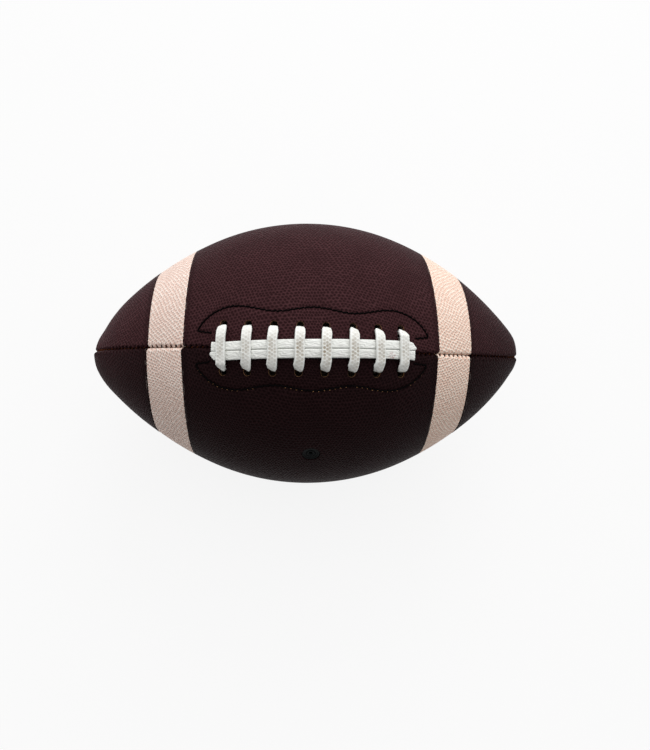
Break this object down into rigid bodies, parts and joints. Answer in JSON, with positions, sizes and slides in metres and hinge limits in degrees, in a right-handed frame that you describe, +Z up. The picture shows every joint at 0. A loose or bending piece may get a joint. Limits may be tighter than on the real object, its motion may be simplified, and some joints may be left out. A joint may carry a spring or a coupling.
{
  "type": "american football",
  "caption": "Prolate ball of dark pebbled leather panels with rolled seams, pale end stripes, a raised lace threaded over the closing seam and a rubber inflation valve.",
  "frame": {"origin": "middle of the small flat that the ball lies on, below its centre", "axes": "+X along the ball's long axis, +Z up through the laces, -Y towards the panel with the valve"},
  "size_m": [0.2824, 0.1708, 0.1755],
  "materials": {
    "cover": "pebbled, semi-matte",
    "stripe": "pebbled, matte",
    "lace": "embossed satin",
    "lining": "coarse weave",
    "facing": "dense weave",
    "thread": "waxed thread",
    "bladder": "smooth",
    "valve": "moulded satin"
  },
  "bodies": {
    "root": {"panel_lace_rear": "cover", "lining_lace_rear": "lining", "stripe_left_lace_rear": "stripe", "stripe_right_lace_rear": "stripe", "panel_base_rear": "cover", "lining_base_rear": "lining", "stripe_left_base_rear": "stripe", "stripe_right_base_rear": "stripe", "panel_base_front": "cover", "lining_base_front": "lining", "stripe_left_base_front": "stripe", "stripe_right_base_front": "stripe", "panel_lace_front": "cover", "lining_lace_front": "lining", "stripe_left_lace_front": "stripe", "stripe_right_lace_front": "stripe", "seam_thread_rear": "thread", "seam_thread_base": "thread", "seam_thread_front": "thread", "seam_thread_lace_left": "thread", "seam_thread_lace_right": "thread", "facing_thread_rear": "thread", "facing_thread_front": "thread", "lace": "lace", "lace_facing_rear": "facing", "lace_facing_front": "facing", "lace_tongue": "facing", "valve_housing": "valve", "valve_plug": "valve", "bladder": "bladder"}
  },
  "joints": []
}
